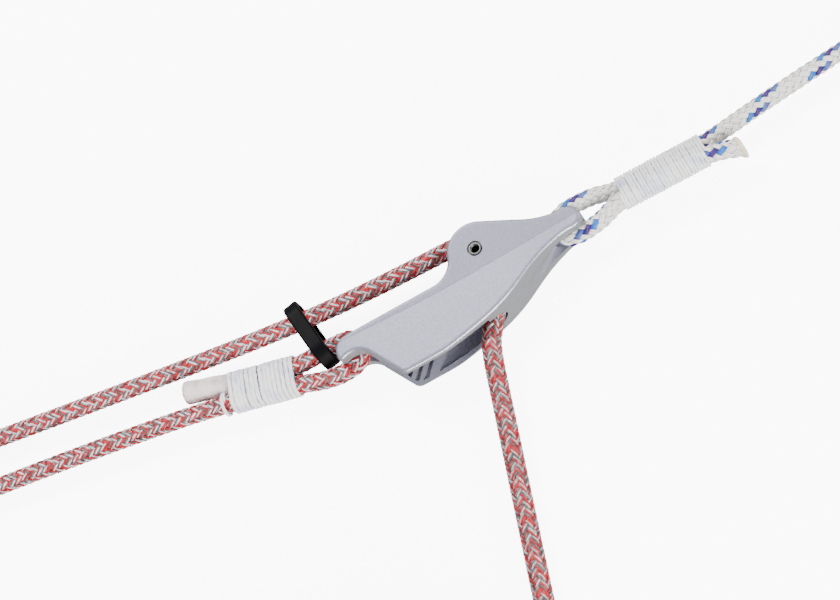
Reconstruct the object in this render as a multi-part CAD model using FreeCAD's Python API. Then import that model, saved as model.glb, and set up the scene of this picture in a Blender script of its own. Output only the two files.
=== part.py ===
import FreeCAD, Part
import math
import os

# In-line rope cleat adjuster with its two lines, lying on its side.
# Frame: +X along the cleat towards its eye, +Y towards the sheave boss, +Z up through the cheeks.
# Origin: on the lower cheek's flat face, at the middle of the cleat's length. Millimetres.

# ---- driving dimensions -------------------------------------------------------------------------
body_width = 15.5            # across the two cheeks
mid = body_width / 2         # height of the middle plane
edge_round = 1.3             # rounding of the outline's edges on both cheeks
spine_y = 2.1                # straight back of the groove
nose_x = -41.4
nose_radius = 4.6
tip_round = (39.1, 1.0, 3.8)             # x, y, radius of the eye end
sheave_axis = (10.4, 5.9)
cheek_radius = 9.1
boss_fillet = 7.8
groove_mouth_half = 6.2      # V groove, half width at its rim
groove_root_half = 1.5
groove_root_y = -3.2
groove_mouth_y = -19.2
rib_pitch = 3.6                 # along the groove
rib_slot = 1.4                  # width of a slot
recess_x = -17.0                # where the flanks' wide recess starts, at the lip
slot_floor = 6.3                # from the middle plane to the slots' floor
slot_count = 4
slot_lean = 45               # degrees between a slot and the long axis
slot_half = 3.6              # rope passage, half width
rope_radius = 3.0            # red line under load
tail_radius = 3.2            # red line slack
white_radius = 2.8
twine = 0.8                  # thickness of a seizing
sheave_rope_radius = 7.5     # rope's centre line round the sheave
sheave_on, sheave_off = 88.2, -34.8      # degrees where the rope meets and leaves the sheave
becket = (-39.8, -0.6, 4.9)              # x, y, centre line radius of the loop round the nose bar
eye = (39.5, 1.5, 4.9)                   # the same at the eye bar
loop_clearance = 0.3
eye_swing = 12               # degrees the white line may swing each way
ring_height = 9.0            # low friction rings
ring_bore = 3.0
ring_lip = 7.7
ring_z = ring_height / 2
ring_rope_radius = 8.25      # rope's centre line round a low friction ring
tack_ring_at = (-174.0, 29.9)
head_ring_at = (177.0, 10.7)
coil_at = (-62.9, -125.7)
coil_mean = 35.0             # radius at the middle of the coil's turns
tail_pivot = (4.6, -15.6)
rope_room = 0.15             # between a rope and the groove that it lies in
rivet_radius = 1.5
rivet_bore = 1.05
rivet_head = 2.1
rivet_recess = 0.6
sheave_radius = 6.2
sheave_half = 3.3
keeper_lean = 11             # degrees

# ---- small helpers ------------------------------------------------------------------------------


def vec(x, y, z=0.0):
    return FreeCAD.Vector(x, y, z)


def polar(x, y, radius, degrees, z=0.0):
    angle = math.radians(degrees)
    return vec(x + radius * math.cos(angle), y + radius * math.sin(angle), z)


def line(a, b):
    return Part.LineSegment(a, b).toShape()


def arc(a, b, c):
    return Part.Arc(a, b, c).toShape()


def box(x0, x1, y0, y1, z0, z1):
    return Part.makeBox(x1 - x0, y1 - y0, z1 - z0, vec(x0, y0, z0))


def upright(x, y, radius, z0, z1):
    return Part.makeCylinder(radius, z1 - z0, vec(x, y, z0))


def prism(points, z0, z1):
    """A polygon in the XY plane, raised from z0 to z1."""
    corners = [vec(x, y, z0) for x, y in points]
    return Part.Face(Part.makePolygon(corners + corners[:1])).extrude(vec(0, 0, z1 - z0))


def rounded_path(points, radii=None):
    """Straight runs joined by tangent arcs. radii holds a radius for the corners that have their own."""
    radii = radii or {}
    edges = []
    used = []
    start = points[0]
    for i in range(1, len(points) - 1):
        before = points[i] - points[i - 1]
        after = points[i + 1] - points[i]
        turn = before.getAngle(after)
        shorter = min(before.Length, after.Length)
        radius = radii.get(i, 0.45 * shorter / math.tan(turn / 2))
        cut = radius * math.tan(turn / 2)
        enter = points[i] - before.normalize() * cut
        leave = points[i] + after.normalize() * cut
        bisector = (enter + leave) * 0.5 - points[i]
        depth = radius / math.cos(turn / 2) - radius
        middle = points[i] + bisector.normalize() * depth
        if (enter - start).Length > 1e-3:
            edges.append(line(start, enter))
        edges.append(arc(enter, middle, leave))
        used.append(radius)
        start = leave
    edges.append(line(start, points[-1]))
    return Part.Wire(edges), used


def tube(name, points, radius):
    """A round tube along the route. Prints its bend radii and compares its volume."""
    path, radii = rounded_path(points)
    start = points[0]
    circle = Part.Wire(Part.Circle(start, points[1] - start, radius).toShape())
    solid = path.makePipeShell([circle], True, False)
    ratio = solid.Volume / (math.pi * radius ** 2 * path.Length)
    print(name, "length %.1f" % path.Length, "volume ratio %.4f" % ratio, "valid", solid.isValid())
    print("   radii", " ".join("%.1f" % r for r in radii))
    return solid


def round_turn(centre, radius, start, end, steps, z):
    """Corners of the route where a line goes round a ring or a sheave, evenly spaced."""
    step = (end - start) / steps
    outer = radius / math.cos(math.radians(step / 2))
    return [polar(centre[0], centre[1], outer, start + step * (k + 0.5), z) for k in range(steps)]


# ---- the casting --------------------------------------------------------------------------------


def cheek_outline():
    """Side outline of the casting: spine, sheave boss, eye end, rope lip, groove rim, scoop and nose."""
    sx, sy = sheave_axis
    fillet_x = sx - math.sqrt((cheek_radius + boss_fillet) ** 2 - (spine_y + boss_fillet - sy) ** 2)
    fillet_y = spine_y + boss_fillet
    reach = cheek_radius / (cheek_radius + boss_fillet)
    boss_left = vec(sx + (fillet_x - sx) * reach, sy + (fillet_y - sy) * reach)
    spine_end = vec(fillet_x, spine_y)
    toe = math.degrees(math.atan2(boss_left.y - fillet_y, boss_left.x - fillet_x))
    fillet_middle = polar(fillet_x, fillet_y, boss_fillet, (toe - 90) / 2)
    fall = 28.0                                        # slope of the back behind the boss, degrees
    boss_right = polar(sx, sy, cheek_radius, 90 - fall)
    back_y = tip_round[1] + tip_round[2]
    corner_x = boss_right.x + (boss_right.y - back_y) / math.tan(math.radians(fall))
    back_radius = 25.0
    cut = back_radius * math.tan(math.radians(fall / 2))
    back_start = vec(corner_x, back_y) - polar(0, 0, cut, -fall)
    back_end = vec(corner_x + cut, back_y)
    back_middle = polar(back_end.x, back_y + back_radius, back_radius, -90 - fall / 2)
    tx, ty, tr = tip_round
    rim_start = vec(-23.0, -18.9)
    rim = Part.BSplineCurve()
    rim_points = [vec(tx, ty - tr), vec(32.0, -4.1), vec(25.0, -6.8), vec(17.0, -11.1), vec(6.0, -15.4),
                  vec(-7.0, -18.2), rim_start]
    rim.interpolate(Points=rim_points, InitialTangent=vec(-1, 0), FinalTangent=vec(-1, 0))
    corner = 3.0
    lean = 23.6                                        # lean of the groove's open end, degrees
    rim_turn = polar(rim_start.x, rim_start.y + corner, corner, 180 + lean)
    rim_middle = polar(rim_start.x, rim_start.y + corner, corner, 225 + lean / 2)
    scoop_x, scoop_y, scoop = -37.2, -10.6, 6.4
    scoop_right = polar(scoop_x, scoop_y, scoop, lean)
    chin = 1.5
    chin_x = nose_x + chin
    chin_y = scoop_y + math.sqrt((scoop + chin) ** 2 - (scoop_x - chin_x) ** 2)
    chin_angle = math.degrees(math.atan2(chin_y - scoop_y, chin_x - scoop_x))
    nose_low = polar(scoop_x, scoop_y, scoop, chin_angle)
    scoop_top = polar(scoop_x, scoop_y, scoop, 80)
    nose_side = vec(nose_x, chin_y)
    chin_middle = polar(chin_x, chin_y, chin, 90 + (chin_angle + 180) / 2)
    nose_top = vec(nose_x + nose_radius, spine_y)
    nose_left = vec(nose_x, spine_y - nose_radius)
    nose_middle = polar(nose_top.x, nose_left.y, nose_radius, 135)
    edges = [
        line(nose_top, spine_end),
        arc(spine_end, fillet_middle, boss_left),
        arc(boss_left, polar(sx, sy, cheek_radius, 110), boss_right),
        line(boss_right, back_start),
        arc(back_start, back_middle, back_end),
        line(back_end, vec(tx, back_y)),
        arc(vec(tx, back_y), vec(tx + tr, ty), vec(tx, ty - tr)),
        rim.toShape(),
        arc(rim_start, rim_middle, rim_turn),
        line(rim_turn, scoop_right),
        arc(scoop_right, scoop_top, nose_low),
        arc(nose_low, chin_middle, nose_side),
        line(nose_side, nose_left),
        arc(nose_left, nose_middle, nose_top),
    ]
    return Part.Wire(edges)


def plan_limit():
    """Plan outline: parallel cheeks that draw in a little towards both ends."""
    flat_start, flat_end = -26.0, 8.0
    nose_end = [(-46, 6.6), (-40, 7.2), (-33, 7.65), (flat_start, mid)]        # x, half width
    eye_end = [(flat_end, mid), (18, 7.68), (27, 7.2), (35, 6.45), (41, 6.0), (46, 5.8)]
    edges = []
    for sign in (1, -1):
        level = mid + sign * mid
        for half_widths, start_way, end_way in ((nose_end, vec(6, 0, sign * 0.6), vec(1, 0)),
                                                (eye_end, vec(1, 0), vec(6, 0, sign * -0.2))):
            side = Part.BSplineCurve()
            side.interpolate(Points=[vec(x, -30, mid + sign * half) for x, half in half_widths],
                             InitialTangent=start_way, FinalTangent=end_way)
            edges.append(side.toShape())
        edges.append(line(vec(flat_start, -30, level), vec(flat_end, -30, level)))
    for x, half in (nose_end[0], eye_end[-1]):
        edges.append(line(vec(x, -30, mid - half), vec(x, -30, mid + half)))
    return Part.Face(Part.Wire(Part.__sortEdges__(edges))).extrude(vec(0, 60, 0))


def rope_way():
    """The red line's centre line below the sheave: where it leaves the sheave, and a point past the mouth."""
    sx, sy = sheave_axis
    top = polar(sx, sy, sheave_rope_radius, sheave_off)
    return top, polar(top.x, top.y, 26, sheave_off - 90)


def passage():
    """The rope's way through the casting: over the sheave and down to the mouth, round on the web's side."""
    sx, sy = sheave_axis
    clear = sheave_rope_radius + slot_half + 0.1
    low, high = mid - slot_half, mid + slot_half
    top, foot = rope_way()
    wheel_pocket = upright(sx, sy, sheave_radius + 1.0, low, high)
    corner = polar(sx, sy, clear, sheave_off)
    over = upright(sx, sy, clear, low, high).common(
        prism([(sx, sy), (sx - 14, sy + 5), (sx - 14, sy + 14), (sx + 14, sy + 14),
               (sx + 14, sy), (corner.x + 1.0, corner.y - 0.7)], low, high))
    down_way = prism([(top.x, top.y), (foot.x, foot.y), (-2.0, -22.0), (0.5, groove_root_y),
                      (sx - 3, sy - 6), (sx, sy)], low, high)
    way = (foot - top).normalize()
    start = top - way * 2.0
    arch = Part.makeCylinder(slot_half, 30.0, vec(start.x, start.y, mid), way)
    return wheel_pocket.fuse([over, down_way, arch])


def groove():
    """The V groove, open at its rim and at the nose end, closed by the web."""
    top, foot = rope_way()
    below = 4.0
    spread = below * (groove_mouth_half - groove_root_half) / (groove_root_y - groove_mouth_y)
    foot_y = groove_mouth_y - below
    foot_half = groove_mouth_half + spread
    section = [vec(-60, foot_y, mid - foot_half), vec(-60, groove_root_y, mid - groove_root_half),
               vec(-60, groove_root_y, mid + groove_root_half), vec(-60, foot_y, mid + foot_half)]
    wedge = Part.Face(Part.makePolygon(section + section[:1])).extrude(vec(90, 0, 0))
    end_x = top.x + (groove_root_y - top.y) * (foot.x - top.x) / (foot.y - top.y)
    reach = prism([(-60, 0), (-60, -30), (foot.x, -30), (foot.x, foot.y), (end_x, groove_root_y),
                   (2.0, -3.0)], 0, body_width)
    return wedge.common(reach)


def rib_slots():
    """Slanted slots and a wide recess in both flanks, up to the lip. The ribs stand between them."""
    lip_y, slot_top = -17.7, -8.0
    rise = slot_top - lip_y
    low, high = mid - slot_floor, mid + slot_floor
    run = rise / math.tan(math.radians(slot_lean))
    along_x = rib_slot / math.sin(math.radians(slot_lean))
    inside = prism([(-24.5, -16.9), (-22.9, lip_y), (-16.0, lip_y), (-7.0, -17.0), (2.0, -15.6), (12.0, -8.0),
                    (12.0, 0.0), (-34.6, 0.0)], low, high)
    slots = []
    for k in range(1, slot_count + 1):
        x = recess_x - rib_pitch * k
        slots.append(prism([(x - along_x, lip_y), (x, lip_y), (x + run, slot_top),
                            (x - along_x + run, slot_top)], low, high).common(inside))
    slots.append(prism([(recess_x, lip_y), (1.0, lip_y), (1.0, -15.5), (6.0, slot_top),
                        (recess_x + run, slot_top)], low, high).common(inside))
    return slots


def loop_way(centre, facing, room, swing):
    """Room for a rope's loop round the bar at one end. facing is 1 at the eye and -1 at the nose."""
    x, y, radius = centre
    overlap = 0.05 if swing else 0.0
    past = facing * (radius * math.sin(math.radians(swing)) + overlap)
    ring = Part.makeTorus(radius, room, vec(x, y, mid), vec(0, 0, 1))
    outer = sorted([x + past, x + facing * 20])
    pieces = [ring.cut(box(outer[0], outer[1], y - 20, y + 20, 0, body_width))]
    for quarter in (90, -90):
        for turn in sorted({swing, -swing}):
            start = polar(0, 0, radius, quarter + turn)
            along = polar(0, 0, 1, turn)
            pieces.append(Part.makeCylinder(room, 14, vec(x + facing * start.x, y + start.y, mid),
                                            vec(facing * along.x, along.y, 0)))
    return pieces


def loop_hole(inner_x, bar_x, half):
    """Hole through the casting from its groove side to its back, round at its inner end."""
    facing = 1 if bar_x > inner_x else -1
    centre_x = inner_x + facing * half
    ends = sorted([centre_x, bar_x])
    hole = box(ends[0], ends[1], -30, 30, mid - half, mid + half)
    return hole.fuse(Part.makeCylinder(half, 60, vec(centre_x, -30, mid), vec(0, 1, 0)))


def cleat_body():
    tall = Part.Face(cheek_outline()).extrude(vec(0, 0, body_width + 2))
    tall.translate(vec(0, 0, -1))
    solid = tall.common(plan_limit())
    rims = [edge for edge in solid.Edges if abs(edge.CenterOfMass.z - mid) > 3.5]
    solid = solid.makeFillet(edge_round, rims)
    sx, sy = sheave_axis
    red_room = rope_radius + loop_clearance
    white_room = white_radius + loop_clearance
    cuts = [passage(), groove()]
    cuts += loop_way(becket, -1, red_room, 0)
    cuts += loop_way(eye, 1, white_room, eye_swing + 2)
    cuts.append(loop_hole(-30.9, becket[0] + becket[2], red_room + 0.2))
    cuts.append(loop_hole(30.4, eye[0] - eye[2], white_room + 0.3))
    trough_start, trough_end = vec(21.0, -12.6, mid), vec(34.5, -2.0, mid)
    trough = trough_end - trough_start
    cuts.append(Part.makeCylinder(3.3, trough.Length, trough_start, trough))
    cuts.append(upright(sx, sy, rivet_radius, -1, body_width + 1))
    cuts.append(upright(sx, sy, rivet_head + 0.35, -1, rivet_recess))
    cuts.append(upright(sx, sy, rivet_head + 0.35, body_width - rivet_recess, body_width + 1))
    for cut in cuts:
        solid = solid.cut(cut)
    for slot in rib_slots():
        solid = solid.cut(slot)
    return max(solid.Solids, key=lambda piece: piece.Volume)


# ---- turned and moulded pieces ------------------------------------------------------------------


def grooved_wheel(x, y, z, bore, outer, half, rope_line, rope):
    """A wheel with a round groove. rope_line is the radius of the rope's centre line round the wheel."""
    wheel = upright(x, y, outer, z - half, z + half)
    wheel = wheel.makeFillet(0.3, [edge for edge in wheel.Edges if edge.Closed])
    wheel = wheel.cut(Part.makeTorus(rope_line, rope + rope_room, vec(x, y, z), vec(0, 0, 1)))
    return wheel.cut(upright(x, y, bore, z - half - 1, z + half + 1))


def sheave():
    sx, sy = sheave_axis
    return grooved_wheel(sx, sy, mid, rivet_radius + 0.05, sheave_radius, sheave_half, sheave_rope_radius,
                         rope_radius)


def low_friction_ring(at):
    """A solid thimble that a line runs round, with a plain bore for whatever it is fastened to."""
    x, y = at
    ring = grooved_wheel(x, y, ring_z, ring_bore, ring_lip, ring_z, ring_rope_radius, rope_radius)
    mouth = [edge for edge in ring.Edges if edge.Closed and abs(edge.Curve.Radius - ring_bore) < 0.01]
    return ring.makeFillet(0.6, mouth)


def sheave_rivet():
    """Tubular rivet: a plain shank with both ends rolled over into the cheeks' recesses."""
    sx, sy = sheave_axis
    low, high = 0.02, body_width - 0.02
    shank = upright(sx, sy, rivet_radius, low, high)
    foot = upright(sx, sy, rivet_head, low, rivet_recess)
    head = upright(sx, sy, rivet_head, high - rivet_recess + 0.02, high)
    rivet = shank.fuse([foot, head])
    rivet = rivet.makeFillet(0.3, [edge for edge in rivet.Edges if edge.Closed and edge.CenterOfMass.z > 0
                                   and abs(edge.Curve.Radius - rivet_head) < 0.01
                                   and abs(abs(edge.CenterOfMass.z - mid) - mid + 0.02) < 0.01])
    rivet = rivet.cut(upright(sx, sy, rivet_bore, -1, body_width + 1))
    flare = 0.45
    for z, up in ((low, 1), (high, -1)):
        rivet = rivet.cut(Part.makeCone(rivet_bore + flare, rivet_bore, flare, vec(sx, sy, z), vec(0, 0, up)))
    return rivet


def stadium(centre, along, across, half, radius):
    """A long oval: two half circles joined by straight sides, in the plane of the two unit vectors."""
    a, b = centre + along * half, centre - along * half
    side = across * radius
    return Part.Wire([
        line(b + side, a + side),
        arc(a + side, a + along * radius, a - side),
        line(a - side, b - side),
        arc(b - side, b - along * radius, b + side),
    ])


def sleeve(start, end, along, half, radius, thickness):
    """A tight wrapping round one rope (half is 0) or two ropes side by side."""
    axis = end - start
    across = axis.cross(along).normalize()
    if half == 0:
        return Part.makeCylinder(radius + thickness, axis.Length, start, axis).cut(
            Part.makeCylinder(radius, axis.Length, start, axis))
    outer = Part.Face(stadium(start, along, across, half, radius + thickness)).extrude(axis)
    return outer.cut(Part.Face(stadium(start, along, across, half, radius)).extrude(axis))


def keeper_ring():
    """Oval band round the upper leg of the red line and the top strand of the becket loop."""
    inner, band, axial, half = 4.5, 1.8, 4.8, 6.2
    lean = math.radians(keeper_lean)
    along = vec(-math.sin(lean), math.cos(lean))
    axis = vec(math.cos(lean), math.sin(lean))
    across = vec(0, 0, 1)
    start = vec(-47.4, 10.9, mid) - axis * (axial / 2)
    outer = Part.Face(stadium(start, along, across, half, inner + band)).extrude(axis * axial)
    outer = outer.makeFillet(0.7, outer.Edges)
    return outer.cut(Part.Face(stadium(start, along, across, half, inner)).extrude(axis * axial))


# ---- the lines ----------------------------------------------------------------------------------


def red_route():
    """From the taped dead end, through the becket, round the tack ring, back and over the sheave."""
    turn_z = ring_z
    seizing_upper, seizing_lower = seizing_lines()
    route = [vec(-91.0, 15.1, 6.35), seizing_upper[0], seizing_upper[1]]
    route += round_turn(becket[:2], becket[2], 90, -90, 4, mid)
    route += [vec(-46.5, -5.6, 7.5), seizing_lower[1], seizing_lower[0], vec(-97.0, 8.75, 6.1)]
    lower_on, upper_off = 260.6, 80.0
    route += round_turn(tack_ring_at, ring_rope_radius, lower_on, upper_off, 4, turn_z)
    route += [vec(-84.0, 22.4, 6.35), vec(-48.0, 17.2, 7.15), vec(-21.0, 14.35, mid)]
    route += round_turn(sheave_axis, sheave_rope_radius, sheave_on, sheave_off, 3, mid)
    pivot = vec(tail_pivot[0], tail_pivot[1], mid)
    route.append(polar(pivot.x, pivot.y, tail_radius + 0.2, sheave_off + 90, mid))
    return route


def seizing_lines():
    """Both strands' centre lines inside the red seizing: upper and lower, each from left to right."""
    left, right = vec(-78.3, 7.5, 6.5), vec(-55.9, 1.4, 7.0)
    side = (right - left).cross(vec(0, 0, 1)).normalize() * -(rope_radius + 0.05)
    return (left + side, right + side), (left - side, right - side)


def tail_route():
    """From the pivot at the mouth, down to the surface and along it to the coil."""
    return [vec(tail_pivot[0], tail_pivot[1], mid), vec(1.0, -20.8, 7.6), vec(-3.65, -40.0, 6.2),
            vec(-8.9, -61.0, 4.3), vec(-13.9, -82.0, 3.3), vec(-18.2, -101.0, 3.25), vec(-25.7, -134.1, 3.25)]


def tail_end_route():
    """From the coil's upper turn down to the surface, ending in the whipped end."""
    return [vec(-94.2, -147.6, 9.6), vec(-102.2, -136.2, 9.0), vec(-106.9, -123.0, 6.2),
            vec(-109.0, -109.5, 4.1)]


def white_route():
    """From the melted dead end, through the eye, and out to the head ring and its own dead end."""
    low = ring_z
    route = [vec(93.8, -4.3, 8.6), vec(84.5, -1.1, 9.2), vec(54.5, -0.5, 9.2), vec(47.0, -2.9, 8.2)]
    route += round_turn(eye[:2], eye[2], 270, 90, 4, mid)
    route += [vec(47.5, 6.5, 7.3), vec(55.0, 4.45, 6.3), vec(84.5, 4.05, 6.3), vec(110.0, 7.3, 5.7),
              vec(140.0, 10.0, 5.1), vec(157.5, 11.6, 4.8)]
    route += round_turn(head_ring_at, ring_rope_radius - 0.2, 111.8, -99.8, 5, low)
    route += [vec(157.5, 5.85, 4.8), vec(140.5, 4.25, 5.1), vec(133.5, 3.2, 5.1)]
    return route


def coil():
    """Outer shape of the tail's coil: two turns side by side and two more on top."""
    half, height = 2 * tail_radius, 4 * tail_radius
    x, y = coil_at
    ring = upright(x, y, coil_mean + half, 0, height).cut(upright(x, y, coil_mean - half, -1, height + 1))
    return ring.makeFillet(tail_radius - 0.2, [edge for edge in ring.Edges if edge.Closed])


def all_nodes():
    nodes = {"cleat_body": cleat_body(), "sheave": sheave(), "sheave_rivet": sheave_rivet(),
             "keeper_ring": keeper_ring(), "tack_ring": low_friction_ring(tack_ring_at),
             "head_ring": low_friction_ring(head_ring_at)}
    red = red_route()
    nodes["red_line"] = tube("red_line", red, rope_radius)
    upper, lower = seizing_lines()
    middle_start, middle_end = (upper[0] + lower[0]) * 0.5, (upper[1] + lower[1]) * 0.5
    across = (upper[0] - lower[0]).normalize()
    half = (upper[0] - lower[0]).Length / 2
    wrap = rope_radius + 0.03
    nodes["red_seizing"] = sleeve(middle_start, middle_end, across, half, wrap, twine)
    dead_way = (red[1] - red[0]).normalize()
    nodes["red_end_cover"] = sleeve(red[0] + dead_way * 0.8, red[1] - dead_way * 0.8, across, 0, wrap, 0.7)
    leg_way = (red[10] - red[9]).normalize()
    loose = red[9] + leg_way * 1.5
    nodes["red_loose_turn"] = sleeve(loose, loose + leg_way * 1.1, across, 0, wrap, 0.6)
    white = white_route()
    nodes["white_line"] = tube("white_line", white, white_radius)
    nodes["white_seizing"] = double_sleeve(white[2], white[1], white[9], white[10], white_radius)
    nodes["head_seizing"] = double_sleeve(white[12], white[13], white[20], white[19], white_radius)
    for name, at, before in (("white_end_seal", white[0], white[1]), ("head_end_seal", white[-1], white[-2])):
        nodes[name] = end_seal(at, before, white_radius)
    tail_coil = coil()
    nodes["tail_coil"] = tail_coil
    tail = tube("red_tail", tail_route(), tail_radius)
    pivot = vec(tail_pivot[0], tail_pivot[1], mid)
    tail = tail.fuse(Part.makeSphere(tail_radius, pivot)).cut(tail_coil)
    nodes["red_tail"] = max(tail.Solids, key=lambda piece: piece.Volume)
    end = tail_end_route()
    last = tube("tail_end", end, tail_radius).cut(tail_coil)
    nodes["tail_end"] = max(last.Solids, key=lambda piece: piece.Volume)
    back = (end[-2] - end[-1]).normalize()
    nodes["tail_whipping"] = sleeve(end[-1] + back * 1.5, end[-1] + back * 8.0, vec(0, 0, 1), 0,
                                    tail_radius + 0.03, 0.6)
    nodes["tail_end_seal"] = end_seal(end[-1], end[-2], tail_radius)
    return nodes


def double_sleeve(upper_start, upper_end, lower_start, lower_end, radius):
    """A seizing round two strands, given by a stretch of each strand's centre line."""
    start, end = (upper_start + lower_start) * 0.5, (upper_end + lower_end) * 0.5
    apart = upper_start - lower_start
    axis = (end - start).normalize()
    apart = apart - axis * apart.dot(axis)
    inset = axis * 0.8
    half = apart.Length / 2
    return sleeve(start + inset, end - inset, apart.normalize(), half, radius + 0.06, twine)


def end_seal(at, before, radius):
    """Melted end of a rope."""
    way = (at - before).normalize()
    disc = Part.makeCylinder(radius + 0.1, 1.2, at + way * 0.02, way)
    return disc.makeFillet(0.5, [max(disc.Edges, key=lambda edge: (edge.CenterOfMass - at).dot(way))])


os.makedirs("parts", exist_ok=True)
for name, shape in all_nodes().items():
    print(name, "volume %.1f" % shape.Volume, "solids", len(shape.Solids), "valid", shape.isValid())
    shape.exportStep("parts/" + name + ".step")
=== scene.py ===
import math

import bpy
import numpy as np
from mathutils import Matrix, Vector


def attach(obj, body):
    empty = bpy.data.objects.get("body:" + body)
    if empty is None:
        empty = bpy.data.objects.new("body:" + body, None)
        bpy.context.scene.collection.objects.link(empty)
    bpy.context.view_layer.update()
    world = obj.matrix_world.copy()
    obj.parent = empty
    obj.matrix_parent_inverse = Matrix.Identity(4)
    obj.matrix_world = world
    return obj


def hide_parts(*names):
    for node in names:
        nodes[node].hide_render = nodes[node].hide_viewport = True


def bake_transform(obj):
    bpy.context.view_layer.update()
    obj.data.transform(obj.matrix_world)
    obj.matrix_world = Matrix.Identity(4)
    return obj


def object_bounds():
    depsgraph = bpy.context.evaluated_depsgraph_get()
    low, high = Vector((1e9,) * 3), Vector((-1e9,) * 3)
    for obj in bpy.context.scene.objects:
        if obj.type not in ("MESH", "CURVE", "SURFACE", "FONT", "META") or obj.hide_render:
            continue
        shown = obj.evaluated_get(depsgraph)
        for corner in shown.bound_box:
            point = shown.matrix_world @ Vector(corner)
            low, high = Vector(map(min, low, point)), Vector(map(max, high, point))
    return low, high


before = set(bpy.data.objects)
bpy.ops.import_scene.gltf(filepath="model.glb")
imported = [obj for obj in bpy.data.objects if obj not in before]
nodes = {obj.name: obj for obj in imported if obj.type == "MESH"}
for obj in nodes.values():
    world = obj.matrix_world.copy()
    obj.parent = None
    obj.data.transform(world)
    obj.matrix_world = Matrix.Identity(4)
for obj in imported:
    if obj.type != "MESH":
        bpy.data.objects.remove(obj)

cad_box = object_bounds()
dice = np.random.default_rng(7)

# ---- sizes, in metres ---------------------------------------------------------------------------

mid_z = 0.00775                     # middle plane of the casting
red_radius, tail_radius, white_radius = 0.003, 0.0032, 0.0028
ring_z = 0.0045
ring_line = 0.00825                 # rope's centre line round a low friction ring
becket = (-0.0398, -0.0006, 0.0049)         # x, y and centre line radius of the loop at the nose
eye = (0.0395, 0.0015, 0.0049)
sheave = (0.0104, 0.0059, 0.0075)
sheave_on, sheave_off = 88.2, -34.8
tack_ring = (-0.174, 0.0299, ring_line)
head_ring = (0.177, 0.0107, ring_line - 0.0002)
coil_centre = (-0.0629, -0.1257)
coil_outer, coil_inner = 0.0382, 0.0318
coil_low, coil_high = 0.0033, 0.0097
pivot = (0.0046, -0.0156, mid_z)    # where the tail leaves the groove
carriers = 8                        # strands each way round a line
red_lay_length, tail_lay_length, white_lay_length = 0.0208, 0.0215, 0.0216      # one turn of a strand
red_relief, white_relief = 0.115, 0.13      # how far strands rise and dive, in rope radii, before crest
up_z = (0.0, 0.0, 1.0)              # straight up


# ---- routes of the lines ------------------------------------------------------------------------


def round_turn(ring, start, end, steps, z):
    """Control points of a line that goes round a ring, a bar or a sheave."""
    x, y, radius = ring
    step = math.radians(end - start) / steps
    outer = radius / math.cos(step / 2)
    angles = [math.radians(start) + step * (k + 0.5) for k in range(steps)]
    return [(x + outer * math.cos(a), y + outer * math.sin(a), z) for a in angles]


def red_points():
    """From the taped end through the becket, round the tack ring and back into the casting."""
    points = [(-0.0910, 0.0151, 0.00635), (-0.07750, 0.01044, 0.0065), (-0.0738, 0.0094, 0.0066),
              (-0.0588, 0.0053, 0.00695), (-0.05510, 0.00434, 0.0070)]
    points += round_turn(becket, 90, -90, 4, mid_z)
    points += [(-0.0465, -0.0056, 0.0075), (-0.05670, -0.00154, 0.0070), (-0.0600, -0.0006, 0.00695),
               (-0.0755, 0.0036, 0.0066), (-0.07910, 0.00456, 0.0065), (-0.0970, 0.00875, 0.0061),
               (-0.1400, 0.0164, 0.0053)]
    points += round_turn(tack_ring, 260.6, 80.0, 4, ring_z)
    points += [(-0.1400, 0.0321, 0.0052), (-0.0840, 0.0224, 0.00635), (-0.0480, 0.0169, 0.00715),
               (-0.0210, 0.01435, mid_z)]
    points += round_turn(sheave, sheave_on, sheave_off, 3, mid_z)
    points += [(0.0138, -0.0024, mid_z), (0.0104, -0.0072, mid_z)]
    return points


def coil_position(turned):
    """Radius and height in the coil after so many degrees: outer low, inner low, inner high, outer high."""
    def moved(start, end):
        share = min(max((turned - start) / (end - start), 0.0), 1.0)
        return share * share * (3 - 2 * share)

    radius = coil_outer + (coil_inner - coil_outer) * (moved(288, 356) - moved(868, 936))
    height = coil_low + (coil_high - coil_low) * moved(578, 646)
    return radius, height


def tail_points():
    """From inside the casting, out of its mouth, down to the surface, round the coil and out of it."""
    points = [(0.0106, -0.0069, mid_z), (0.0075, -0.0114, mid_z), pivot,
              (0.0010, -0.0208, 0.0076), (-0.00365, -0.0400, 0.0062), (-0.0089, -0.0610, 0.0043),
              (-0.0139, -0.0820, 0.0033), (-0.0182, -0.1010, 0.00325)]
    first, last, steps = -6.0, -1219.0, 48
    step = (last - first) / steps
    for k in range(steps):
        angle = first + step * (k + 0.5)
        radius, height = coil_position(first - angle)
        radius /= math.cos(math.radians(step / 2))
        points.append((coil_centre[0] + radius * math.cos(math.radians(angle)),
                       coil_centre[1] + radius * math.sin(math.radians(angle)), height))
    return points + [(-0.0967, -0.1436, 0.0096), (-0.1030, -0.1345, 0.0088), (-0.1069, -0.1230, 0.0062),
                     (-0.1090, -0.1095, 0.0041)]


def white_points():
    """From the melted end through the eye, out to the head ring and back to its own end."""
    points = [(0.0926, -0.0039, 0.0087), (0.0860, -0.0016, 0.0091), (0.0810, -0.0010, 0.0092),
              (0.0585, -0.0006, 0.0092), (0.0530, -0.0008, 0.0091), (0.0470, -0.0029, 0.0082)]
    points += round_turn(eye, 270, 90, 4, mid_z)
    points += [(0.0475, 0.0065, 0.0073), (0.0540, 0.0046, 0.0064), (0.0590, 0.0044, 0.0063),
               (0.0805, 0.0041, 0.0063), (0.0860, 0.0042, 0.00625), (0.1100, 0.0073, 0.0057),
               (0.1400, 0.0100, 0.0051), (0.1575, 0.0116, 0.0048)]
    points += round_turn(head_ring, 111.8, -99.8, 5, ring_z)
    return points + [(0.1575, 0.00585, 0.0048), (0.1405, 0.00425, 0.0051), (0.1335, 0.0032, 0.0051)]


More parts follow.
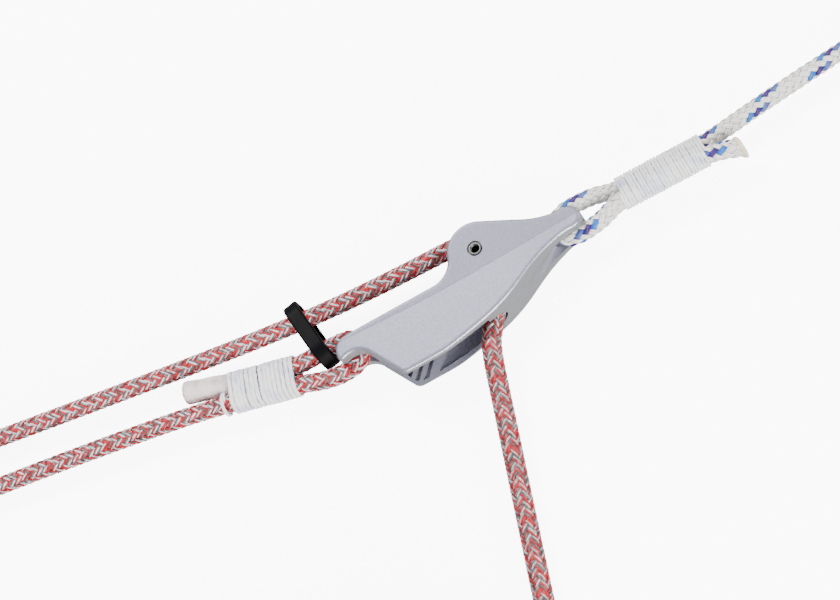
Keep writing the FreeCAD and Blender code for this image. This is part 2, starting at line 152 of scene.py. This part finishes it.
def smooth_line(points):
    """The points that Blender samples along a route's NURBS spline."""
    curve = bpy.data.curves.new("route", "CURVE")
    curve.dimensions = "3D"
    spline = curve.splines.new("NURBS")
    spline.points.add(len(points) - 1)
    for point, place in zip(spline.points, points):
        point.co = (*place, 1.0)
    spline.order_u = 3
    spline.use_endpoint_u = True
    spline.resolution_u = 24
    holder = bpy.data.objects.new("route", curve)
    mesh = bpy.data.meshes.new_from_object(holder)
    line = np.array([v.co for v in mesh.vertices])
    bpy.data.objects.remove(holder)
    bpy.data.curves.remove(curve)
    bpy.data.meshes.remove(mesh)
    return line


def distance_along(line):
    """How far each point of a line is from its start, along the line."""
    return np.concatenate([[0.0], np.cumsum(np.linalg.norm(np.diff(line, axis=0), axis=1))])


def length_of(line):
    return float(np.linalg.norm(np.diff(line, axis=0), axis=1).sum())


def resample(line, count):
    steps = distance_along(line)
    at = np.linspace(0.0, steps[-1], count)
    return np.stack([np.interp(at, steps, line[:, k]) for k in range(3)], axis=1), at


def unit(rows):
    return rows / np.linalg.norm(rows, axis=-1, keepdims=True)


def frames(line):
    """Two directions across the line at each point, carried along it without twist."""
    along = unit(np.gradient(line, axis=0))
    up = np.array(up_z)
    ups = []
    for way in along:
        up = up - way * up.dot(way)
        up /= np.linalg.norm(up)
        ups.append(up)
    ups = np.array(ups)
    return np.cross(ups, along), ups


# ---- mesh making --------------------------------------------------------------------------------


def on_circle(sides):
    """Angles of a section's points, and the points as (across, out) pairs on a circle of radius 1."""
    angles = np.arange(sides) * 2 * math.pi / sides
    return angles, np.stack([-np.sin(angles), np.cos(angles)], axis=1)


class Build:
    """Collects swept shapes, then makes one object of them. Each point keeps where it is on its shape, in
    the attribute strand: along the line, across it, and a number of the shape's own."""

    shape_step = 1.7

    def __init__(self):
        self.vertices, self.faces, self.slots, self.place, self.rise, self.count = [], [], [], [], [], 0

    def sweep(self, line, outward, section, slots, closed=True, along=None, rise=None):
        """A closed section, given as (across, out) pairs, swept along a line. slots holds one per side.
        rise says how far each point of the line stands over its neighbours, from 0 to 1."""
        tangent = unit(np.gradient(line, axis=0))
        side = unit(np.cross(tangent, outward))
        out = np.cross(side, tangent)
        section = np.broadcast_to(section, (len(line),) + np.shape(section)[-2:])
        points = (line[:, None] + section[:, :, :1] * side[:, None] + section[:, :, 1:] * out[:, None])
        n, m = points.shape[:2]
        self.vertices.append(points.reshape(-1, 3))
        if along is None:
            along = distance_along(line)
        place = np.zeros((n, m, 3))
        place[:, :, 0] = along[:, None]
        place[:, :, 1] = section[:, :, 0]
        place[:, :, 2] = self.shape_step * len(self.place)
        self.place.append(place.reshape(-1, 3))
        self.rise.append(np.repeat(np.ones(n) if rise is None else rise, m))
        row = np.arange(n - 1)[:, None] * m
        col = np.arange(m)[None]
        after = (col + 1) % m
        quads = np.stack([row + col, row + after, row + m + after, row + m + col], axis=2) + self.count
        self.faces += quads.reshape(-1, 4).tolist()
        self.slots += np.tile(slots, n - 1).tolist()
        if closed:
            self.faces.append((np.arange(m)[::-1] + self.count).tolist())
            self.faces.append((np.arange(m) + (n - 1) * m + self.count).tolist())
            self.slots += [slots[0], slots[0]]
        self.count += n * m

    def finish(self, name, materials):
        mesh = bpy.data.meshes.new(name)
        mesh.from_pydata(np.concatenate(self.vertices).tolist(), [], self.faces)
        for material in materials:
            mesh.materials.append(material)
        mesh.polygons.foreach_set("material_index", self.slots)
        mesh.polygons.foreach_set("use_smooth", [True] * len(self.faces))
        place = mesh.attributes.new("strand", "FLOAT_VECTOR", "POINT")
        place.data.foreach_set("vector", np.concatenate(self.place).astype(np.float32).ravel())
        rise = mesh.attributes.new("rise", "FLOAT", "POINT")
        rise.data.foreach_set("value", np.concatenate(self.rise).astype(np.float32))
        mesh.update()
        made = bpy.data.objects.new(name, mesh)
        bpy.context.scene.collection.objects.link(made)
        return made


def braid(name, points, radius, lay, section, relief, colours, materials, turn=0.0, start=0.0):
    """A braided cover over two, under two, round a plain core. colours says each strand's sides, each way.
    turn rolls the whole braid about its line, and start slides it along."""
    core_share, core_sides, crest = 0.72, 10, 1.3
    line = smooth_line(points)
    crossing = lay / (2 * carriers)
    count = int(length_of(line) / crossing * 2) + 1
    line, along = resample(line, count)
    side, up = frames(line)
    build = Build()
    build.sweep(line, up, on_circle(core_sides)[1] * (radius * core_share), [0] * core_sides)
    section = np.array(section) * radius
    thick = section[:, 1].max()
    wave = radius * relief
    middle = radius - thick - wave * crest
    for way, strands in zip((1, -1), colours):
        for k, strand in enumerate(strands):
            angle = 2 * math.pi * (k / carriers + way * (along - start) / lay) + turn
            band = 2 * carriers * (angle - turn) / (2 * math.pi) - 0.5
            over = way * np.cos(math.pi / 2 * band)
            out = middle + wave * over * crest
            outward = np.cos(angle)[:, None] * side + np.sin(angle)[:, None] * up
            build.sweep(line + outward * out[:, None], outward, section, strand, along=along,
                        rise=0.5 + 0.5 * over)
    return build.finish(name, materials), line


# ---- materials ----------------------------------------------------------------------------------


class Nodes:
    """Short cuts for a material's node tree."""

    def __init__(self, name):
        self.material = bpy.data.materials.new(name)
        self.material.use_nodes = True
        self.tree = self.material.node_tree
        self.shader = self.tree.nodes["Principled BSDF"]

    def add(self, kind, inputs=None, **settings):
        node = self.tree.nodes.new("ShaderNode" + kind)
        for key, value in settings.items():
            setattr(node, key, value)
        for key, value in (inputs or {}).items():
            if isinstance(value, bpy.types.NodeSocket):
                self.tree.links.new(value, node.inputs[key])
            else:
                node.inputs[key].default_value = value
        return node

    def set(self, **values):
        """Sets the shader's inputs, with _ for a space in a name: links a socket, stores a constant."""
        for key, value in values.items():
            name = key.replace("_", " ")
            if isinstance(value, bpy.types.NodeSocket):
                self.tree.links.new(value, self.shader.inputs[name])
            else:
                self.shader.inputs[name].default_value = value

    def ramp(self, value, *stops):
        node = self.add("ValToRGB", {0: value})
        ramp = node.color_ramp
        while len(ramp.elements) < len(stops):
            ramp.elements.new(0.5)
        for element, (place, colour) in zip(ramp.elements, stops):
            element.position = place
            element.color = (*colour, 1.0)
        return node.outputs["Color"]

    def noise(self, scale, detail, place):
        return self.add("TexNoise", {"Scale": scale, "Detail": detail, "Vector": place}).outputs["Fac"]

    def stretched_noise(self, detail, place, scales):
        """Noise with a scale of its own along each direction of place."""
        scaled = self.add("VectorMath", {0: place, 1: scales}, operation="MULTIPLY").outputs[0]
        return self.noise(1.0, detail, scaled)

    def maths(self, operation, a, b=0.0, clamp=False):
        return self.add("Math", {0: a, 1: b}, operation=operation, use_clamp=clamp).outputs[0]

    def shaded(self, colour, painted_shade):
        mixed = self.add("Mix", {6: colour, 7: painted_shade, 0: 1.0}, data_type="RGBA", blend_type="MULTIPLY")
        return mixed.outputs[2]

    def bump(self, height, distance, strength=1.0, normal=None):
        inputs = {"Height": height, "Distance": distance, "Strength": strength}
        if normal is not None:
            inputs["Normal"] = normal
        return self.add("Bump", inputs).outputs["Normal"]

    def where(self):
        return self.add("TexCoord").outputs["Object"]

    def strand(self):
        return self.add("Attribute", attribute_name="strand").outputs["Vector"]


def grey(value):
    return (value, value, value)


def yarn(name, base, low, high, spacing, furrow_shade, dive_shade):
    """Filament yarn: its yarns lie spacing apart across the strand; the furrow value sets how dark the
    painted shade between them gets, and the dive value how dark the painted shade gets where the strand goes
    under the others."""
    n = Nodes(name)
    place = n.strand()
    patches = n.stretched_noise(2.0, place, (900.0, 1500.0, 1.0))
    colour = n.ramp(patches, (0.34, low), (0.48, base), (0.56, base), (0.68, high))
    filaments = n.stretched_noise(3.0, place, (260.0, 5200.0, 1.0))
    across = n.add("SeparateXYZ", {0: place}).outputs[1]
    wave = n.maths("COSINE", n.maths("MULTIPLY", across, 2 * math.pi / spacing))
    height = n.maths("ADD", filaments, n.maths("MULTIPLY", wave, 0.25))
    # Darker where the yarn's height is low: painted shade in the furrows between yarns and filaments.
    painted_shade = n.ramp(height, (0.20, grey(furrow_shade)), (0.55, grey(1.0)))
    # Darker where the strand dives under the others (low rise): painted shade.
    rise = n.add("Attribute", attribute_name="rise").outputs["Fac"]
    painted_dive_shade = n.ramp(rise, (0.30, grey(dive_shade)), (0.78, grey(1.0)))
    n.set(Base_Color=n.shaded(n.shaded(colour, painted_shade), painted_dive_shade), Roughness=0.5,
          Normal=n.bump(height, 0.00010, 0.7), Sheen_Weight=0.2, Sheen_Roughness=0.4, Specular_IOR_Level=0.45)
    return n.material


# The core shows only through the gaps between strands; its dark colour is painted shade in those gaps.
def core_material(name, colour):
    n = Nodes(name)
    patches = n.noise(900.0, 2.0, n.where())
    n.set(Base_Color=n.ramp(patches, (0.3, colour), (0.7, [c * 1.5 for c in colour])), Roughness=0.9)
    return n.material


def twine_material():
    n = Nodes("waxed_twine")
    fibres = n.stretched_noise(3.0, n.strand(), (500.0, 3600.0, 1.0))
    dirt = n.ramp(n.noise(170.0, 3.0, n.where()), (0.32, (0.66, 0.69, 0.83)), (0.46, (0.93, 0.93, 0.96)),
                  (0.66, (0.97, 0.94, 0.90)))
    # Darker where the fibre bump is low: painted shade between the fibres.
    painted_shade = n.ramp(fibres, (0.34, grey(0.74)), (0.52, grey(1.0)))
    n.set(Base_Color=n.shaded(dirt, painted_shade), Roughness=0.5, Normal=n.bump(fibres, 0.00014, 0.8),
          Sheen_Weight=0.15)
    return n.material


def tape_material():
    n = Nodes("cloth_tape")
    place = n.where()
    weave = n.noise(2600.0, 2.0, place)
    stain = n.noise(230.0, 4.0, place)
    wrinkled = n.bump(n.noise(420.0, 3.0, place), 0.0010, 0.9)
    n.set(Base_Color=n.ramp(stain, (0.34, (0.60, 0.50, 0.49)), (0.50, (0.79, 0.69, 0.67)),
                            (0.66, (0.86, 0.79, 0.77))),
          Roughness=0.85, Normal=n.bump(weave, 0.0001, 0.8, wrinkled))
    return n.material


def fibre_end_material():
    n = Nodes("cut_fibres")
    fibres = n.noise(1500.0, 3.0, n.where())
    n.set(Base_Color=n.ramp(fibres, (0.38, (0.55, 0.05, 0.08)), (0.5, (0.70, 0.42, 0.42)),
                            (0.60, (0.84, 0.78, 0.76))),
          Roughness=0.9, Normal=n.bump(fibres, 0.0003, 1.0))
    return n.material


def melted_material():
    n = Nodes("melted_fibre")
    place = n.where()
    amber = n.noise(420.0, 2.0, place)
    n.set(Base_Color=n.ramp(amber, (0.40, (0.82, 0.80, 0.76)), (0.56, (0.80, 0.66, 0.38)),
                            (0.72, (0.85, 0.80, 0.70))),
          Roughness=0.35, Normal=n.bump(n.noise(700.0, 3.0, place), 0.0002, 0.8))
    return n.material


def casting_material():
    """Bead-blasted cheeks with the faint draft line, smooth machined faces between and under them."""
    crease_y, crease_curve = -0.0010, 1.1       # the draft line's y at x = 0, and how it bends with x squared
    slope, groove_half, groove_depth = 0.16, 0.00022, 0.00006
    n = Nodes("blasted_casting")
    coords = n.add("TexCoord")
    place, normal = coords.outputs["Object"], coords.outputs["Normal"]
    split = n.add("SeparateXYZ", {0: place})
    x, y = split.outputs[0], split.outputs[1]
    facing = n.maths("ABSOLUTE", n.add("SeparateXYZ", {0: normal}).outputs[2])
    cheek = n.maths("MULTIPLY", n.maths("SUBTRACT", facing, 0.55), 4.0, clamp=True)
    blast = n.noise(3400.0, 2.0, place)
    speckle = n.noise(1500.0, 3.0, place)
    brushed = n.stretched_noise(2.0, place, (300.0, 300.0, 5200.0))
    cheek_tone = n.ramp(speckle, (0.30, (0.250, 0.250, 0.315)), (0.70, (0.310, 0.310, 0.380)))
    bare_tone = n.ramp(brushed, (0.30, (0.290, 0.296, 0.312)), (0.70, (0.350, 0.356, 0.376)))
    tone = n.add("Mix", {"Factor": cheek, 6: bare_tone, 7: cheek_tone}, data_type="RGBA").outputs[2]
    rough = n.ramp(facing, (0.0, grey(0.36)), (0.45, grey(0.26)), (0.85, grey(0.30)), (0.97, grey(0.54)))
    bend = n.maths("MULTIPLY", n.maths("MULTIPLY", x, x), crease_curve)
    beyond = n.maths("SUBTRACT", n.maths("SUBTRACT", y, crease_y), bend)
    across_groove = n.maths("DIVIDE", n.maths("ABSOLUTE", beyond), groove_half)
    groove = n.maths("SUBTRACT", 1.0, across_groove, clamp=True)
    crease = n.maths("SUBTRACT", n.maths("MULTIPLY", n.maths("MAXIMUM", beyond, 0.0), slope),
                     n.maths("MULTIPLY", groove, groove_depth))
    wobble = n.maths("MULTIPLY", n.noise(260.0, 2.0, place), 0.00004)
    drafted = n.bump(n.maths("ADD", crease, wobble), 1.0)
    blasted = n.bump(n.maths("MULTIPLY", blast, cheek), 0.00007, 0.9, drafted)
    bare_lines = n.maths("MULTIPLY", brushed, n.maths("SUBTRACT", 1.0, cheek))
    n.set(Base_Color=tone, Metallic=0.55, Roughness=rough, Normal=n.bump(bare_lines, 0.00002, 0.6, blasted))
    return n.material


def moulded_material(name, tone, roughness, specular):
    n = Nodes(name)
    place = n.where()
    fine = n.noise(1800.0, 2.0, place)
    wear = n.noise(240.0, 3.0, place)
    n.set(Base_Color=n.ramp(wear, (0.3, [c * 0.8 for c in tone]), (0.7, [c * 1.4 for c in tone])),
          Roughness=n.maths("ADD", n.maths("MULTIPLY", wear, 0.2), roughness - 0.1),
          Normal=n.bump(fine, 0.00003, 0.6), Specular_IOR_Level=specular)
    return n.material


def metal_material(name, tone, roughness, stretch):
    n = Nodes(name)
    lines = n.stretched_noise(2.0, n.where(), stretch)
    n.set(Base_Color=n.ramp(lines, (0.3, [c * 0.85 for c in tone]), (0.7, tone)), Metallic=1.0,
          Roughness=n.maths("ADD", n.maths("MULTIPLY", lines, 0.15), roughness - 0.07),
          Normal=n.bump(lines, 0.00002, 0.5))
    return n.material


# Spacing of a strand's yarns, painted shade between yarns, painted shade where a strand dives.
trio_spacing_and_shade = (0.00060, 0.40, 0.30)
line_spacing_and_shade = (0.00054, 0.52, 0.60)
red_yarns = [
    # Near black: painted shade in the gaps between strands.
    core_material("red_core_painted_shade", (0.06, 0.03, 0.03)),
    yarn("yarn_red", (0.54, 0.001, 0.010), (0.28, 0.001, 0.006), (0.66, 0.06, 0.08), *trio_spacing_and_shade),
    yarn("yarn_stone", (0.13, 0.105, 0.105), (0.05, 0.040, 0.040), (0.42, 0.37, 0.38), *trio_spacing_and_shade),
    yarn("yarn_pale", (0.80, 0.71, 0.75), (0.34, 0.27, 0.28), (0.94, 0.92, 0.93), *trio_spacing_and_shade),
]
tail_yarns = red_yarns[:3] + [
    yarn("yarn_dull", (0.50, 0.40, 0.41), (0.24, 0.18, 0.18), (0.84, 0.77, 0.78), *trio_spacing_and_shade),
]
white_yarns = [
    # A dark grey core under a white braid: painted shade in the gaps between strands.
    core_material("white_core_painted_shade", (0.22, 0.22, 0.23)),
    yarn("yarn_white", (0.93, 0.91, 0.87), (0.86, 0.81, 0.72), (0.97, 0.97, 0.96), *line_spacing_and_shade),
    yarn("yarn_blue", (0.0, 0.145, 0.56), (0.0, 0.11, 0.47), (0.002, 0.19, 0.64), *line_spacing_and_shade),
    yarn("yarn_purple", (0.038, 0.003, 0.15), (0.024, 0.002, 0.11), (0.055, 0.010, 0.22), *line_spacing_and_shade),
    yarn("yarn_tracer", (0.27, 0.03, 0.05), (0.20, 0.02, 0.04), (0.34, 0.06, 0.07), *line_spacing_and_shade),
]
twine = twine_material()
tape = tape_material()
melted = melted_material()

# ---- the red line, its tail and the white line --------------------------------------------------

# A strand's section, in rope radii: three yarns side by side with furrows between them.
triple = [(0.29, -0.04), (-0.29, -0.04), (-0.20, 0.10), (-0.10, 0.04), (0.0, 0.12), (0.10, 0.04),
          (0.20, 0.10)]
# The same for a flat ribbon of many yarns.
ribbon = [(0.29, -0.03), (0.20, -0.09), (-0.20, -0.09), (-0.29, -0.03), (-0.22, 0.065), (-0.05, 0.10),
          (0.05, 0.10), (0.22, 0.065)]


def trio(left, middle, right):
    """Materials of a triple strand's seven sides."""
    return [middle, left, left, middle, middle, right, right]


def flat(edge, stripe):
    """Materials of a ribbon's eight sides, with a stripe along the middle of its outer face."""
    return [edge] * 5 + [stripe] + [edge] * 2


red, stone, pale = 1, 2, 3
red_strands = [trio(red, red, pale), trio(pale, red, stone), trio(red, pale, stone), trio(pale, stone, red),
               trio(red, pale, red), trio(stone, red, pale), trio(pale, stone, red), trio(stone, pale, red)]
facing_strand = 4                   # the two ways' strands mirror each other on the side that faces up
red_lay = [red_strands, [red_strands[(facing_strand - k) % carriers] for k in range(carriers)]]
white, blue, purple, tracer = 1, 2, 3, 4
white_lay = [
    [flat(white, white)] * carriers,
    ([flat(white, white)] * 2 + [flat(blue, blue), flat(purple, purple), flat(blue, tracer)]
     + [flat(white, white)] * 3),
]

red_line, red_centre = braid("red_braid", red_points(), red_radius, red_lay_length, triple, red_relief,
                             red_lay, red_yarns)
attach(red_line, "cleat")
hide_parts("red_line")

red_tail, tail_centre = braid("red_tail_braid", tail_points(), tail_radius, tail_lay_length, triple,
                              red_relief, red_lay, tail_yarns)
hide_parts("red_tail", "tail_coil", "tail_end")
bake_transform(red_tail)

white_line, white_centre = braid("white_braid", white_points(), white_radius, white_lay_length, ribbon,
                                 white_relief, white_lay, white_yarns, turn=1.77, start=-0.0024)
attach(white_line, "white")
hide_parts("white_line")


# ---- seizings -----------------------------------------------------------------------------------


def winding(name, start, end, across, half, reach, turns, thick, node, body, slack=0.20):
    """Twine wound round one strand or two: an oval helix from start to end. half is half the distance between
    two strands, reach the radius that the twine lies on, thick its own, and slack how unevenly it lies."""
    per_turn, sides = 36, 10
    lowest, highest = -0.00010, 0.00006     # how far in and out of its even radius a turn may lie
    tuck_turns, tuck_depth = 0.12, 2.2  # each end dives in: over how many turns, and by how many twine radii
    fill, least_plump = 0.48, 1.15      # the twine's half width in turn spacings, and the least in its radii
    ply_length, ply_depth = 0.0032, 0.14    # half a twist of its two plies, and their rise in its radii
    start, end, across = np.array(start), np.array(end), unit(np.array(across, float))
    axis = unit(end - start)
    across = unit(across - axis * across.dot(axis))
    third = np.cross(axis, across)
    count = int(turns * per_turn) + 1
    share = np.linspace(0.0, 1.0, count)
    turn = share * turns
    whole = np.arange(int(turns) + 2)
    slip = np.interp(turn, whole, dice.uniform(-slack, slack, len(whole))) / turns
    swell = np.interp(turn, whole, dice.uniform(lowest, highest, len(whole)))
    tuck = np.minimum(1.0, np.minimum(turn, turns - turn) / tuck_turns)
    radius = reach + thick + swell - (1 - tuck) * thick * tuck_depth
    perimeter = 2 * math.pi * radius + 4 * half
    walked = (turn % 1.0) * perimeter
    bend, straight = math.pi * radius, 2 * half
    line, outward = [], []
    for k in range(count):
        w, r = walked[k], radius[k]
        if w < bend[k]:
            a = w / r - math.pi / 2
            centre, way = half, (math.cos(a), math.sin(a))
        elif w < bend[k] + straight:
            centre, way = half - (w - bend[k]), (0.0, 1.0)
        elif w < 2 * bend[k] + straight:
            a = (w - bend[k] - straight) / r + math.pi / 2
            centre, way = -half, (math.cos(a), math.sin(a))
        else:
            centre, way = -half + (w - 2 * bend[k] - straight), (0.0, -1.0)
        out = across * way[0] + third * way[1]
        line.append(start + (end - start) * (share[k] + slip[k]) + across * centre + out * r)
        outward.append(out)
    line, outward = np.array(line), np.array(outward)
    plump = max(fill * np.linalg.norm(end - start) / turns / thick, least_plump)
    angles, circle = on_circle(sides)
    twist = distance_along(line)[:, None] / ply_length * 2 * math.pi
    lobes = thick * (1.0 + ply_depth * np.cos(2 * angles[None] + twist))
    section = lobes[:, :, None] * circle * (plump, 1.0)
    build = Build()
    build.sweep(line, outward, section, [0] * sides)
    made = build.finish(name, [twine])
    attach(made, body)
    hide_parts(node)
    return made


red_apart = (0.262, 0.963, 0.0)     # across the red loop, from strand to strand
red_wrap = winding("red_winding", (-0.0778, 0.00737, 0.0065), (-0.0564, 0.00153, 0.0070), red_apart, 0.00305,
                   0.00302, 15, 0.00042, "red_seizing", "cleat")
white_wrap = winding("white_winding", (0.0556, 0.0020, 0.00775), (0.0834, 0.0015, 0.00775),
                     (0.0, -0.865, 0.502), 0.0029, 0.00285, 28, 0.00040, "white_seizing", "white", slack=0.10)
head_wrap = winding("head_winding", (0.1566, 0.0086, 0.0048), (0.1413, 0.0071, 0.0051), (0.0, 1.0, 0.0),
                    0.00285, 0.00283, 13, 0.00042, "head_seizing", "white")


def nearest(line, place):
    """The point of a line nearest a place, and the way the line runs there."""
    k = int(np.argmin(np.linalg.norm(line - np.array(place), axis=1)))
    return line[k], unit(line[min(k + 1, len(line) - 1)] - line[max(k - 1, 0)])


loose_at, loose_way = nearest(red_centre, (-0.0807, 0.00503, 0.00646))
loose_turn = winding("loose_turn", loose_at - loose_way * 0.0004, loose_at + loose_way * 0.0006, red_apart,
                     0.0, 0.00300, 1.6, 0.00048, "red_loose_turn", "cleat")
whip_end, whip_way = tail_centre[-1], unit(tail_centre[-1] - tail_centre[-4])
whipping = winding("tail_winding", whip_end - whip_way * 0.0080, whip_end - whip_way * 0.0015, up_z, 0.0,
                   0.00322, 9, 0.00032, "tail_whipping", "tail")


# ---- covered and melted ends --------------------------------------------------------------------


def end_cover():
    """Cloth tape round the red line's dead end, a little wider at the cut, with the fibres showing."""
    rows, sides = 26, 40
    cut, reach, tucked = -0.0003, 0.0155, 0.0142    # along the line: the cut, the tape's end and its taper
    tape_radius, flare, flare_run = 0.00355, 0.00025, 0.002
    taper, taper_run = 0.00045, 0.0008
    unevenness, rounded, fray = 0.00011, 0.93, 0.03
    build = Build()
    start, way = red_centre[0], unit(red_centre[4] - red_centre[0])
    travel = np.linspace(cut, reach, rows)
    line = start + way * travel[:, None]
    angles, circle = on_circle(sides)
    rough = dice.uniform(-1.0, 1.0, (rows, sides))
    rough = (rough + np.roll(rough, 1, 1) + np.roll(rough, -1, 1)) / 3
    belly = (tape_radius + flare * np.exp(-travel / flare_run)
             - taper * np.clip((travel - tucked) / taper_run, 0.0, 1.0))
    lumps = (0.014 * np.sin(3 * angles[None] + travel[:, None] * 500)
             + 0.012 * np.sin(2 * angles[None] - travel[:, None] * 900 + 1.0))
    radius = belly[:, None] * (1 + lumps) + rough * unevenness
    radius[0] *= rounded
    build.sweep(line, np.tile(up_z, (rows, 1)), radius[:, :, None] * circle, [0] * sides, closed=False)
    # The cut fibres: rings a depth from the cut, each a share of the tape's radius.
    depth = np.array([0.0010, -0.0001, -0.0004, -0.00055, -0.0006])
    shares = (0.94, 0.965, 0.86, 0.55, 0.2)
    rings = np.array([radius[1] * share * (1 + dice.uniform(-fray, fray, sides)) for share in shares])
    places = start + way * (cut + depth[:, None])
    build.sweep(places[::-1], np.tile(up_z, (len(depth), 1)), (rings[:, :, None] * circle)[::-1], [1] * sides)
    made = build.finish("taped_end", [tape, fibre_end_material()])
    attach(made, "cleat")
    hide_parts("red_end_cover")
    return made


def cut_end(points, at, way, slant, flare):
    """A rope end's points, moved so that its cut is slanted and it spreads a little."""
    run, near_by = 0.0050, 0.0062       # how far along the rope, and how far from the cut, points are moved
    depth = (points - at) @ way
    near = np.clip(1 + depth / run, 0.0, 1.0)[:, None]
    near = near * (np.linalg.norm(points - at, axis=1) < near_by)[:, None]
    lean = ((points - at) @ np.array(slant))[:, None] * way
    aside = points - at - depth[:, None] * way
    return points + near * lean + near * near * flare * aside


def melted_end(name, rope, line, radius, node, body, slant, flare, reach):
    """A heat-sealed rope end: its braid cut at a slant, and a short irregular cap on it."""
    at, way = line[0], unit(line[0] - line[3])
    rope_points = np.array([v.co for v in rope.data.vertices])
    rope.data.vertices.foreach_set("co", cut_end(rope_points, at, way, slant, flare).ravel())
    rope.data.update()
    build = Build()
    sides, unevenness = 28, 0.015
    travel = np.array([-0.0006, 0.0, 0.35, 0.7, 0.9, 1.0, 1.02])        # from the third on, shares of reach
    travel[2:] *= reach
    swell = np.array([0.94, 1.03, 1.07, 1.04, 0.93, 0.62, 0.1])         # the cap's radius, in rope radii
    angles, circle = on_circle(sides)
    lump = (1 + 0.05 * np.sin(2 * angles + 1.0) + 0.03 * np.sin(5 * angles)
            + dice.uniform(-unevenness, unevenness, sides))
    section = (radius * swell[:, None] * lump[None])[:, :, None] * circle
    centres = at + way * travel[:, None]
    build.sweep(centres, np.tile(up_z, (len(travel), 1)), section, [0] * sides)
    build.vertices[0] = cut_end(build.vertices[0], at, way, slant, flare)
    made = build.finish(name, [melted])
    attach(made, body)
    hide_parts(node)
    return made


taped = end_cover()
white_cap = melted_end("white_melted_end", white_line, white_centre, white_radius, "white_end_seal", "white",
                       (0.0, -0.53, 0.0), 0.13, 0.0010)
head_cap = melted_end("head_melted_end", white_line, white_centre[::-1], white_radius, "head_end_seal",
                      "white", (0.0, 0.1, 0.1), 0.05, 0.0012)
tail_cap = melted_end("tail_melted_end", red_tail, tail_centre[::-1], tail_radius, "tail_end_seal", "tail",
                      (0.1, 0.0, 0.1), 0.05, 0.0012)

# ---- finishes of the CAD pieces -----------------------------------------------------------------

finishes = {
    "cleat_body": casting_material(),
    "sheave": moulded_material("black_acetal", (0.03, 0.03, 0.033), 0.42, 0.4),
    "keeper_ring": moulded_material("black_nylon", (0.0025, 0.0025, 0.003), 0.5, 0.05),
    "sheave_rivet": metal_material("rivet_steel", (0.07, 0.07, 0.069), 0.36, (900.0, 900.0, 300.0)),
    "tack_ring": metal_material("ring_anodised", (0.30, 0.31, 0.33), 0.38, (200.0, 200.0, 3000.0)),
}
finishes["head_ring"] = finishes["tack_ring"]
for node, material in finishes.items():
    nodes[node].data.materials.clear()
    nodes[node].data.materials.append(material)

# ---- floor, light and camera --------------------------------------------------------------------

floor_half, floor_gap = 6.0, 0.0002
floor_level = cad_box[0].z - floor_gap
corners = [(x * floor_half, y * floor_half, floor_level) for x, y in ((-1, -1), (1, -1), (1, 1), (-1, 1))]
floor_mesh = bpy.data.meshes.new("floor")
floor_mesh.from_pydata(corners, [], [(0, 1, 2, 3)])
floor = bpy.data.objects.new("floor", floor_mesh)
bpy.context.scene.collection.objects.link(floor)
paper = Nodes("pale_floor")
paper.set(Base_Color=paper.ramp(paper.noise(3.0, 2.0, paper.where()), (0.0, grey(0.90)), (1.0, grey(0.92))),
          Roughness=1.0, Emission_Color=(1.0, 1.0, 1.0, 1.0), Emission_Strength=8.0, Specular_IOR_Level=0.0)
floor_mesh.materials.append(paper.material)
floor.visible_diffuse = False
floor.visible_glossy = False

world = bpy.data.worlds.new("studio")
bpy.context.scene.world = world
world.use_nodes = True
background = world.node_tree.nodes["Background"]
background.inputs["Color"].default_value = (0.97, 0.98, 1.0, 1.0)
background.inputs["Strength"].default_value = 0.66


def softbox(name, place, size, power):
    """A rectangular light that faces the origin."""
    light = bpy.data.lights.new(name, "AREA")
    light.shape = "RECTANGLE"
    light.size, light.size_y = size
    light.energy = power
    lamp = bpy.data.objects.new(name, light)
    lamp.location = place
    x, y, z = place
    lamp.rotation_euler = (math.atan2(math.hypot(x, y), z), 0.0, math.atan2(y, x) + math.pi / 2)
    bpy.context.scene.collection.objects.link(lamp)


softbox("key", (-0.15, 0.70, 0.90), (0.5, 0.35), 20.0)
softbox("fill", (0.35, -0.85, 0.45), (0.6, 0.3), 9.0)
softbox("rim", (0.0, -0.70, 0.14), (0.7, 0.05), 7.0)
softbox("edge", (0.9, 0.10, 0.30), (0.4, 0.4), 3.5)

camera_data = bpy.data.cameras.new("camera")
camera_data.sensor_width = 36.0
camera_data.lens = 81.43
camera_data.clip_start = 0.01
camera = bpy.data.objects.new("camera", camera_data)
camera.location = (0.06889, -0.25333, 0.51449)
camera.rotation_euler = [math.radians(a) for a in (20.7383, 19.2447, -23.4990)]
bpy.context.scene.collection.objects.link(camera)
bpy.context.scene.camera = camera
